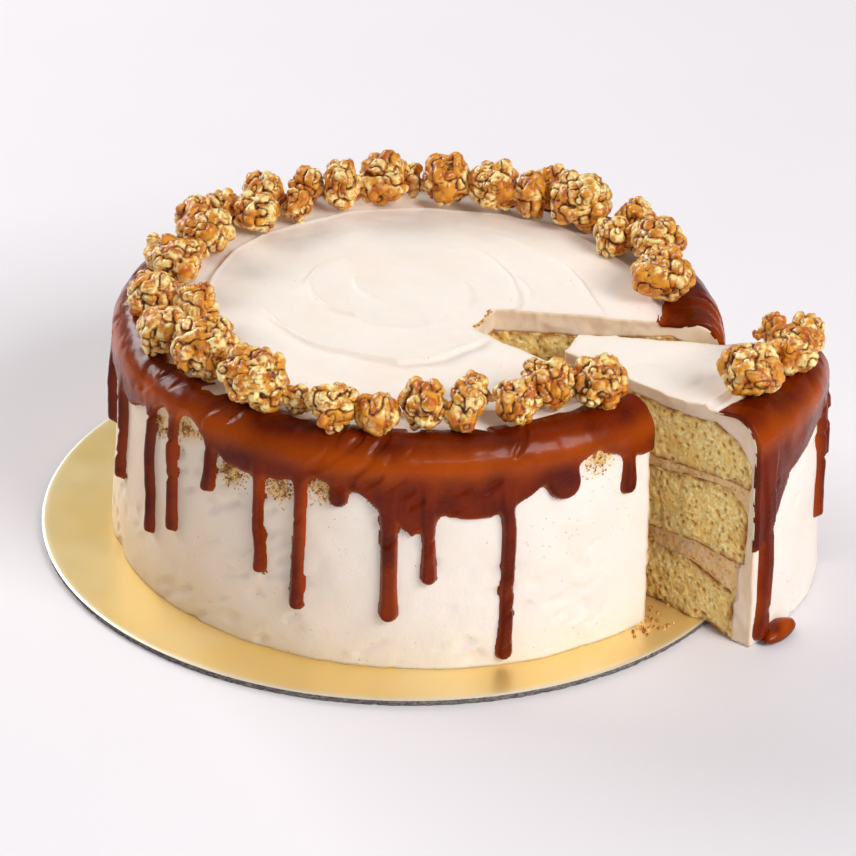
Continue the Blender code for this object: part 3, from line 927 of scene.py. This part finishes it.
def make_layer(name, sector, layer, cell, relief, material, slot, *nodes):
    """One sponge or filling: torn cut faces, hidden top, bottom and outer wall."""
    low_name, high_name, outer = LAYERS[layer]
    face = sector.face_radii(outer, cell)
    radii = np.concatenate([face[::-1], face[1:]])
    shares = np.concatenate([np.zeros(len(face)), np.ones(len(face) - 1)])
    angles = sector.angle(shares, radii)
    low = table(radii, LEVELS[low_name]) + LAYER_GAP
    high = table(radii, LEVELS[high_name])
    rows = max(4, round(float((high - low).max()) / cell))
    up = np.linspace(0, 1, rows + 1)[:, None]
    wall = polar(radii, angles, low + (high - low) * up)
    shell = Shell()
    shell.add_grid(wall)
    coarse = coarse_shares(sector)
    arc_angles = sector.angle(coarse, outer)
    arc_low = polar(outer, arc_angles, low[0])
    arc_high = polar(outer, arc_angles, high[0])
    shell.add_grid(np.stack([arc_low, arc_high]))
    shell.add_polygon(np.concatenate([wall[:, 0], [arc_high[0], arc_low[0]]]))
    shell.add_polygon(np.concatenate([wall[:, -1], [arc_high[-1], arc_low[-1]]]))
    for row, arc, level, lift in ((0, arc_low, low_name, LAYER_GAP), (-1, arc_high, high_name, 0)):
        inside = cap_points(sector, level, outer)
        if len(inside):
            inside[:, 2] += lift - LAYER_GAP
        shell.add_cap(np.concatenate([wall[row], arc[::-1]]), inside)
    points = shell.all_points()
    radius = np.hypot(points[:, 0], points[:, 1])
    to_edge = np.minimum(points[:, 2] - table(radius, LEVELS[low_name]),
                         table(radius, LEVELS[high_name]) - points[:, 2])
    to_edge = np.minimum(to_edge, (outer - radius) * 0.8)
    moved = wander(points)
    distance, normal = sector.cut_normals(points)
    push, pore_shade = relief(moved)
    moved = moved + normal * (push * np.exp(-distance / 1.5))[:, None]
    # The pores' depth paints shade into them
    attributes = {"crust": np.clip(1.5 * np.exp(-np.maximum(to_edge, 0) / 1.1), 0, 1), "pore_shade": pore_shade}
    piece = build(name, place(moved, sector), shell.faces, material, attributes)
    return register(piece, slot, *nodes)


def crumb_relief(points):
    """Torn open crumb: lumps, and pores between them. Returns the push and the pores' depth, which the
    sponge's colour uses as painted shade.
    """
    near, number = cells(points + 0.5 * noise_vectors(points, 2, 52), 2.6, 50)
    pores = smooth_step(0.42, 0.12, near) * (number > 0.35)
    fine_near, fine_number = cells(points, 1.25, 56)
    fine = smooth_step(0.42, 0.15, fine_near) * (fine_number > 0.5)
    lumps = 0.55 * noise(points, 7, 60) + 0.3 * noise(points, 2.4, 61) + 0.2 * noise(points, 1.2, 62)
    push = 1.3 * lumps - 1.0 * pores - 0.45 * fine
    return push, np.clip(0.85 * pores + 0.5 * fine, 0, 1)


def cream_relief(points):
    """Cut buttercream, dragged by the knife."""
    push = 0.3 * noise(points, 4, 65) + 0.2 * noise(points, 1.6, 66) - 0.35
    return push, np.zeros(len(points))


def make_layers(prefix, sector, cell, sponge, filling):
    """All the layers inside the icing."""
    for layer in LAYERS:
        is_sponge = layer.startswith("sponge")
        node = f"{prefix}_{layer}"
        make_layer(f"{node}_crumb" if is_sponge else f"{node}_cream", sector, layer, cell,
                   crumb_relief if is_sponge else cream_relief,
                   sponge if is_sponge else filling,
                   "sponge" if is_sponge else "buttercream", node)


# ---------------------------------------------------------------- caramel

def back_drips():
    """Drips round the far side, uneven like those in front."""
    rng = random.Random(BACK_SEED)
    step = (BACK_TO - BACK_FROM) / BACK_DRIPS
    drips = []
    for index in range(BACK_DRIPS):
        angle = BACK_FROM + step * (index + 0.5 + rng.uniform(-0.2, 0.2))
        tip = rng.uniform(12, 60)
        drips.append((angle, tip, rng.uniform(4.9, 7), 1.7))
        rng.uniform(66, 74)          # the CAD draws an edge height here; this keeps its order
    return drips


def caramel_columns(drips, start, end):
    """Angles of the caramel's columns: close together at the drips, wider between them."""
    fine = detail(0.42, 0.8)
    wide = detail(1.5, 2.5)
    angles = [start]
    centres = [math.radians(drip[0]) for drip in drips]
    halves = [(drip[2] * drip[3] / 2 + DRIP_MARGIN) / BASE_RADIUS for drip in drips]
    while angles[-1] < end:
        at = angles[-1]
        close = any(abs(at - centre) < half for centre, half in zip(centres, halves))
        angles.append(at + (fine if close else wide) / BASE_RADIUS)
    angles[-1] = end
    return np.array(angles)


def caramel_depth(length, angle, drips, edge, band):
    """How far inside the caramel's outline each place is, and how much of it is drip."""
    across = angle * BASE_RADIUS
    flat = np.stack([across, length, np.zeros_like(length)], 1)
    edge_length = RIM_END + SIDE_HEIGHT - table(np.degrees(angle), edge)
    edge_length = edge_length + 0.7 * noise(flat, 7, 81)
    inner = table(np.degrees(angle), band) + 1.2 * noise(flat, 12, 82) + 0.7 * noise(flat, 4, 83)
    depth = np.minimum(edge_length - length, length - inner)
    drip_share = np.zeros_like(length)
    for number, (degrees, tip, width, root) in enumerate(drips):
        tip_length = SIDE_END - tip
        bulb = width * 0.5
        centre = math.radians(degrees) * BASE_RADIUS
        wave = 0.9 * noise(flat * np.array([0, 1, 0]), 16, 90 + number)
        off = np.abs(across - centre - wave * smooth_step(RIM_END, RIM_END + 15, length))
        run = (tip_length - bulb) - length
        total = tip_length - RIM_END
        neck = 0.84 + 0.16 * smooth_step(8, 0, run)
        flare = 1 + (root - 1) * smooth_step(0.75 * total, 1.05 * total, run)
        half = width / 2 * neck * flare
        shaft = half - off
        cap = bulb - np.hypot(off, np.minimum(run, 0))
        shape = np.where(run > 0, shaft, cap)
        shape = np.minimum(shape, length - RIM_END + 22)
        depth = smooth_max(depth, shape, FILLET)
        drip_share = np.maximum(drip_share, smooth_step(-0.5, 1.5, shape))
    return depth, drip_share


def make_caramel(name, sector, drips, edge, band, material, *nodes):
    """The poured sheet with its drips, as a skin that dips under the icing at its edges."""
    start, end = sector.start, sector.end
    if not sector.is_slice:
        start, end = sector.start - FULL_TURN, sector.end - FULL_TURN
    angles = caramel_columns(drips, start, end)
    lowest = min(drip[1] for drip in drips)
    top_rows = np.linspace(POUR_FROM, RIM_END, detail(46, 24))
    foot = SIDE_END - max(lowest - 2.5, 0.4)
    side_rows = np.linspace(RIM_END, foot, detail(92, 50))[1:]
    lengths = np.concatenate([top_rows, side_rows])
    grid_length, grid_angle = np.meshgrid(lengths, angles, indexing="ij")
    length = grid_length.ravel()
    angle = grid_angle.ravel()
    depth, drip_share = caramel_depth(length, angle, drips, edge, band)
    flat = np.stack([angle * BASE_RADIUS, length, np.zeros_like(length)], 1)
    over_rim = smooth_step(TOP_END - 4, TOP_END + 8, length)
    full = TOP_THICKNESS + (SHEET_THICKNESS - TOP_THICKNESS) * over_rim
    full = full + (DRIP_THICKNESS - full) * drip_share * smooth_step(RIM_END - 2, RIM_END + 12, length)
    full = full + 0.3 * noise(flat, 15, 85) + 0.12 * noise(flat, 4, 86)
    rounded = np.sqrt(np.clip(1 - (1 - np.clip(depth / EDGE_WIDTH, 0, 1)) ** 2, 0, 1))
    thickness = np.where(depth > 0, full * rounded, np.maximum(depth * 0.8, -0.45))
    kept = depth.reshape(grid_length.shape) > -0.5
    cell = kept[:-1, :-1] | kept[1:, :-1] | kept[:-1, 1:] | kept[1:, 1:]
    over = icing_surface(length, angle, sector, thickness)
    under = icing_surface(length, angle, sector, np.full_like(length, -CARAMEL_DEPTH))
    rows, columns = grid_length.shape
    quads = grid_faces(rows, columns).reshape(rows - 1, columns - 1, 4)
    faces = [quads[cell], (quads[cell] + rows * columns)[:, ::-1]]
    padded = np.pad(cell, 1)
    sides = ((padded[:-2, 1:-1], 0, 1), (padded[1:-1, 2:], 1, 2), (padded[2:, 1:-1], 2, 3),
             (padded[1:-1, :-2], 3, 0))
    for neighbour, first, second in sides:
        rim = quads[cell & ~neighbour]
        a, b = rim[:, first], rim[:, second]
        faces.append(np.stack([a, b, b + rows * columns, a + rows * columns], 1))
    faces = np.concatenate(faces)
    used, faces = np.unique(faces, return_inverse=True)
    faces = faces.reshape(-1, 4)
    points = np.concatenate([over, under])[used]
    # Painted glow round the rim, as of light shining through the sheet
    rim_glow = np.exp(-((length - GLOW_LENGTH) / GLOW_WIDTH) ** 2) * (1 + 0.3 * noise(flat, 20, 88))
    thin_and_glow = 0.4 * smooth_step(2.4, 0.2, depth) * (1 - drip_share) + 0.55 * rim_glow
    thin_and_glow = np.clip(thin_and_glow + 0.15 * noise(flat, 10, 87), 0, 1)
    thin_and_glow = np.concatenate([thin_and_glow, thin_and_glow])[used]
    piece = build(name, place(points, sector), faces.tolist(), material, {"thin_and_glow": thin_and_glow})
    return register(piece, "caramel", *nodes)


def make_puddle(name, material, *nodes):
    """The puddle where the slice's long drip meets the board's edge."""
    along_board, out_of_board, thick = PUDDLE_HALVES
    turn = np.linspace(0, FULL_TURN, 65)
    rise = np.linspace(0, math.pi, 24)
    grid_rise, grid_turn = np.meshgrid(rise, turn, indexing="ij")
    tangent = along_board * np.sin(grid_rise) * np.cos(grid_turn)
    radial = out_of_board * np.sin(grid_rise) * np.sin(grid_turn)
    up = thick * np.cos(grid_rise)
    radius = PUDDLE_RADIUS + radial + PUDDLE_BEND * tangent ** 2
    angle = PUDDLE_ANGLE + tangent / BASE_RADIUS
    points = polar(radius, angle, up + PUDDLE_HEIGHT).reshape(-1, 3)
    points = points + 0.5 * noise_vectors(points, 5, 95)
    points[:, 2] = np.maximum(points[:, 2], PUDDLE_BOTTOM)
    shell = Shell()
    shell.add_grid(points.reshape(*grid_rise.shape, 3))
    thin_and_glow = np.clip(0.3 + 0.5 * noise(points, 5, 96), 0, 1)
    piece = build(name, place(points, SLICE), shell.faces, material, {"thin_and_glow": thin_and_glow})
    return register(piece, "caramel", *nodes)


# ---------------------------------------------------------------- popcorn

def ball(count):
    """Directions and faces of a ball made of six square grids."""
    steps = np.tan(np.linspace(-math.pi / 4, math.pi / 4, count + 1))
    a, b = np.meshgrid(steps, steps, indexing="ij")
    one = np.ones_like(a)
    directions = []
    faces = []
    for axis, sign in product(range(3), (-1, 1)):
        parts = [a, b]
        parts.insert(axis, one * sign)
        face = np.stack(parts, -1).reshape(-1, 3)
        faces.append(grid_faces(count + 1, count + 1, len(directions) * (count + 1) ** 2))
        directions.append(face / np.linalg.norm(face, axis=1)[:, None])
    return np.concatenate(directions), np.concatenate(faces)


def puff(points, size, seed):
    """Rounded puffs with sharp creases between them, from 0 in a crease to about 1."""
    return np.clip(np.abs(noise(points, size, seed)) * 2.2, 0, 1) ** 0.6


def popcorn_blobs(rng, size):
    """Blobs of one popped kernel: centre and radii in millimetres about the box's middle."""
    half = size / 2
    least = min(half)
    round_kernel = max(half) < 1.35 * least and least > 7
    blobs = [(np.zeros(3), half * (0.8 if round_kernel else 0.6))]
    count = rng.randint(9, 12) if round_kernel else rng.randint(6, 8)
    for index in range(count):
        height = 1 - 2 * (index + 0.5) / count
        turn = index * 2.4 + rng.uniform(-0.7, 0.7)
        level = math.sqrt(1 - height * height)
        direction = np.array([level * math.cos(turn), level * math.sin(turn), height])
        radius = rng.uniform(0.28, 0.42) if round_kernel else rng.uniform(0.34, 0.56)
        centre = direction * half * (1.02 - radius)
        shape = np.array([rng.uniform(0.8, 1.25) for _ in range(3)])
        blobs.append((centre, least * radius * shape))
    return blobs


def union(points, faces, voxel):
    """Join overlapping closed blobs into one skin with Blender's voxel remesh."""
    mesh = bpy.data.meshes.new("blobs")
    mesh.from_pydata((points * MM).tolist(), [], faces)
    blob = bpy.data.objects.new("blobs", mesh)
    bpy.context.scene.collection.objects.link(blob)
    remesh = blob.modifiers.new("union", "REMESH")
    remesh.mode = "VOXEL"
    remesh.voxel_size = voxel * MM
    bpy.context.view_layer.update()
    evaluated = blob.evaluated_get(bpy.context.evaluated_depsgraph_get())
    joined = bpy.data.meshes.new_from_object(evaluated)
    skin = np.empty(len(joined.vertices) * 3)
    joined.vertices.foreach_get("co", skin)
    edges = np.empty(len(joined.edges) * 2, int)
    joined.edges.foreach_get("vertices", edges)
    faces = [list(face.vertices) for face in joined.polygons]
    bpy.data.objects.remove(blob, do_unlink=True)
    bpy.data.meshes.remove(mesh)
    bpy.data.meshes.remove(joined)
    return skin.reshape(-1, 3) / MM, edges.reshape(-1, 2), faces


def neighbour_mean(values, edges):
    """Mean of each point's neighbours."""
    total = np.zeros_like(values)
    count = np.zeros(len(values))
    for a, b in ((0, 1), (1, 0)):
        np.add.at(total, edges[:, a], values[edges[:, b]])
        np.add.at(count, edges[:, a], 1)
    return total / np.maximum(count, 1).reshape((-1,) + (1,) * (values.ndim - 1))


def point_normals(points, faces):
    """Outward direction at each point of a skin of four-cornered faces."""
    corners = np.array(faces)
    across = np.cross(points[corners[:, 2]] - points[corners[:, 0]],
                      points[corners[:, 3]] - points[corners[:, 1]])
    normals = np.zeros_like(points)
    for column in range(4):
        np.add.at(normals, corners[:, column], across)
    return normals / np.maximum(np.linalg.norm(normals, axis=1), 1e-9)[:, None]


def make_popcorn(node, number, material):
    """One popped kernel: puffed blobs joined into a skin, wrinkled, and fitted to its node."""
    rng = random.Random(POPCORN_SEED + number)
    low, high = (np.array(corner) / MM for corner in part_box(node))
    low[2] = min(low[2], POPCORN_FLOOR)
    size = (high - low) * POPCORN_SPREAD
    middle = (low + high) / 2
    directions, ball_faces = ball(12)
    points = []
    faces = []
    for centre, radii in popcorn_blobs(rng, size):
        offset = np.array([rng.uniform(0, 900) for _ in range(3)])
        shape = directions * radii
        swell = 0.8 + 0.3 * puff(shape + offset, 5.5, 4)
        faces += (ball_faces + len(directions) * len(points)).tolist()
        points.append(centre + shape * swell[:, None])
    voxel = detail(0.5, 0.9)
    skin, edges, faces = union(np.concatenate(points), faces, voxel)
    for _ in range(2):
        skin = skin + 0.5 * (neighbour_mean(skin, edges) - skin)
    offset = np.array([rng.uniform(0, 900) for _ in range(3)])
    spot = skin + offset
    wrinkle = puff(spot + 1.2 * noise_vectors(spot, 4, 6), 4.2, 7)
    fine = puff(spot, 1.9, 8)
    normals = point_normals(skin, faces)
    skin = skin + normals * (1.5 * wrinkle + 0.4 * fine - 1.1)[:, None]
    least = skin.min(0)
    most = skin.max(0)
    skin = (skin - (least + most) / 2) / (most - least) * size + middle
    hollow = neighbour_mean(skin, edges) - skin
    hollow = np.einsum("ij,ij->i", hollow, point_normals(skin, faces)) / voxel
    for _ in range(2):
        hollow = 0.5 * hollow + 0.5 * neighbour_mean(hollow, edges)
    # The crease attribute paints shade into the hollows
    crease = smooth_step(0.01, 0.11, hollow) + 0.45 * smooth_step(0.4, 0.1, wrinkle)
    bare = 1.2 * smooth_step(0.03, -0.07, hollow) * smooth_step(-0.45, 0.2, noise(spot, 6, 19))
    attributes = {"crease": np.clip(crease, 0, 1), "bare": np.clip(bare, 0, 1)}
    piece = build(f"{node}_kernel", skin, faces, material, attributes)
    return register(piece, "popcorn", node)


# ---------------------------------------------------------------- crumbs

def make_crumbs(name, spots, material, slot, seed):
    """Small lumps at the given places: each a point in millimetres and a size."""
    rng = random.Random(seed)
    directions, faces = ball(LUMP_GRID)
    points = []
    all_faces = []
    for centre, size in spots:
        offset = np.array([rng.uniform(0, 900) for _ in range(3)])
        squash = np.array([rng.uniform(0.7, 1.2) for _ in range(3)])
        bumpy = 1 + 0.35 * noise(directions * 2 + offset, 1.1, 3)
        points.append(np.array(centre) + directions * bumpy[:, None] * squash * size / 2)
        all_faces += (faces + len(directions) * (len(points) - 1)).tolist()
    piece = build(name, np.concatenate(points), all_faces, material)
    return register(piece, slot)


def crumb_places(rng):
    """Crumbs in the icing of the side, round the notch's tip and on the board."""
    spots = []
    for degrees, middle in SIDE_CRUMBS:
        for _ in range(CRUMBS_A_PATCH):
            angle = math.radians(degrees + rng.gauss(0, SIDE_CRUMB_SPREAD[0]))
            height = middle + rng.gauss(0, SIDE_CRUMB_SPREAD[1])
            spot = icing_surface([SIDE_END - height], [angle], CAKE)
            spots.append((place(spot, CAKE)[0], rng.uniform(0.35, 1.0)))
    for _ in range(TIP_CRUMBS):
        radius = NOTCH_TIP + rng.uniform(-2.5, 3)
        angle = CUT_MIDDLE + rng.uniform(-CUT_HALF, CUT_HALF)
        if radius * math.cos(angle - CUT_MIDDLE) > CAKE.chord - 0.3:
            radius = CAKE.chord - 0.3
        spot = icing_surface([radius], [angle], CAKE)
        spots.append((place(spot, CAKE)[0], rng.uniform(0.6, 1.7)))
    for degrees, radius, count in BOARD_CRUMBS:
        for _ in range(count):
            angle = math.radians(degrees + rng.gauss(0, 2.2))
            spot = polar(radius + rng.gauss(0, 3.5), angle, 0.35)
            spots.append((spot + CAKE_AXIS, rng.uniform(0.7, 2.0)))
    return spots


# ---------------------------------------------------------------- board

def make_board(foil, card):
    """Gold foil on a dark fibrous card with nicks in its edge."""
    turn = np.linspace(0, FULL_TURN, 361)
    grid = np.array([polar(radius, turn, height) for radius, height in FOIL_PROFILE])
    shell = Shell()
    shell.add_grid(grid)
    points = shell.all_points()
    radius = np.hypot(points[:, 0], points[:, 1])
    rim = smooth_step(134.2, 135.4, radius)
    piece = build("cake_board_foil", points, shell.faces, foil, {"rim": rim}, 35)
    register(piece, "gold_card", "cake_board")
    turn = np.linspace(0, FULL_TURN, 1081)
    grid = np.array([polar(radius, turn, height) for radius, height in CARD_PROFILE])
    points = grid.reshape(-1, 3)
    outward = points * np.array([1, 1, 0]) / 135
    nicks = smooth_step(0.5, 0.75, noise(points, 3, 63))
    fray = 0.25 * noise(points * np.array([1, 1, 3]), 2.2, 61) - 0.5 * nicks
    edge = smooth_step(134, 135.4, np.hypot(points[:, 0], points[:, 1])) * (points[:, 2] < 2.42)
    points = points + outward * (fray * edge)[:, None]
    shell = Shell()
    shell.add_grid(points.reshape(grid.shape))
    piece = build("cake_board_card", points, shell.faces, card)
    return register(piece, "gold_card", "cake_board")


# ---------------------------------------------------------------- stage

def look_at_camera():
    """The camera, where the photographer stood."""
    right = Vector((1, 0, 0))
    up = Vector((0, math.sin(CAMERA_PITCH), math.cos(CAMERA_PITCH)))
    forward = Vector((0, math.cos(CAMERA_PITCH), -math.sin(CAMERA_PITCH)))
    x_axis = right * math.cos(CAMERA_ROLL) + up * math.sin(CAMERA_ROLL)
    y_axis = up * math.cos(CAMERA_ROLL) - right * math.sin(CAMERA_ROLL)
    data = bpy.data.cameras.new("camera")
    data.sensor_width = CAMERA_SENSOR
    data.lens = CAMERA_LENS
    data.clip_end = 20
    camera = bpy.data.objects.new("camera", data)
    turn = Matrix((x_axis, y_axis, -forward)).transposed()
    camera.matrix_world = Matrix.Translation(CAMERA_PLACE) @ turn.to_4x4()
    bpy.context.scene.collection.objects.link(camera)
    bpy.context.scene.camera = camera


def add_softbox(name, azimuth, elevation, distance, width, height, power):
    """A rectangular light in a direction from the cake, facing it."""
    data = bpy.data.lights.new(name, "AREA")
    data.shape = "RECTANGLE"
    data.size = width
    data.size_y = height
    data.energy = power
    lamp = bpy.data.objects.new(name, data)
    level = math.cos(math.radians(elevation))
    away = Vector((level * math.cos(math.radians(azimuth)), level * math.sin(math.radians(azimuth)),
                   math.sin(math.radians(elevation))))
    lamp.location = away * distance + LIGHT_AIM
    lamp.rotation_euler = (-away).to_track_quat("-Z", "Y").to_euler()
    bpy.context.scene.collection.objects.link(lamp)


def add_stage():
    """Floor, lights and the pale room around."""
    mesh = bpy.data.meshes.new("floor")
    corners = [(-1, -1), (1, -1), (1, 1), (-1, 1)]
    mesh.from_pydata([(x * FLOOR_HALF, y * FLOOR_HALF, 0) for x, y in corners], [], [(0, 1, 2, 3)])
    mesh.materials.append(floor_material())
    floor = bpy.data.objects.new("floor", mesh)
    bpy.context.scene.collection.objects.link(floor)
    world = bpy.data.worlds.new("studio")
    world.use_nodes = True
    background = world.node_tree.nodes["Background"]
    background.inputs["Color"].default_value = WORLD_TINT
    background.inputs["Strength"].default_value = WORLD_LIGHT
    bpy.context.scene.world = world
    for softbox in SOFTBOXES:
        add_softbox(*softbox)
    settings = bpy.context.scene.view_settings
    settings.view_transform = "Standard"
    settings.look = "None"


# ---------------------------------------------------------------- the cake

def make_cake():
    """Every piece of the object."""
    icing = icing_material()
    sponge = sponge_material()
    filling = filling_material()
    caramel = caramel_material()
    popcorn = popcorn_material()
    make_board(foil_material(), card_material())
    make_icing("cake_icing_coat", CAKE, detail(440, 220), icing, "cake_icing")
    make_icing("slice_icing_coat", SLICE, detail(84, 44), icing, "slice_icing")
    make_layers("cake", CAKE, detail(0.8, 1.6), sponge, filling)
    make_layers("slice", SLICE, detail(0.5, 1.0), sponge, filling)
    make_caramel("cake_caramel_pour", CAKE, CAKE_DRIPS + back_drips(), CAKE_EDGE, CAKE_BAND, caramel,
                 "cake_caramel")
    make_caramel("slice_caramel_pour", SLICE, SLICE_DRIPS, SLICE_EDGE, SLICE_BAND, caramel,
                 "slice_caramel")
    make_puddle("slice_caramel_puddle", caramel, "slice_caramel")
    spots = crumb_places(random.Random(CRUMB_SEED))
    make_crumbs("crumbs", spots, crumb_material(), "sponge", CRUMB_SEED)
    names = sorted(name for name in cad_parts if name.startswith("popcorn"))
    for number, node in enumerate(names):
        make_popcorn(node, number, popcorn)


look_at_camera()
add_stage()
make_cake()
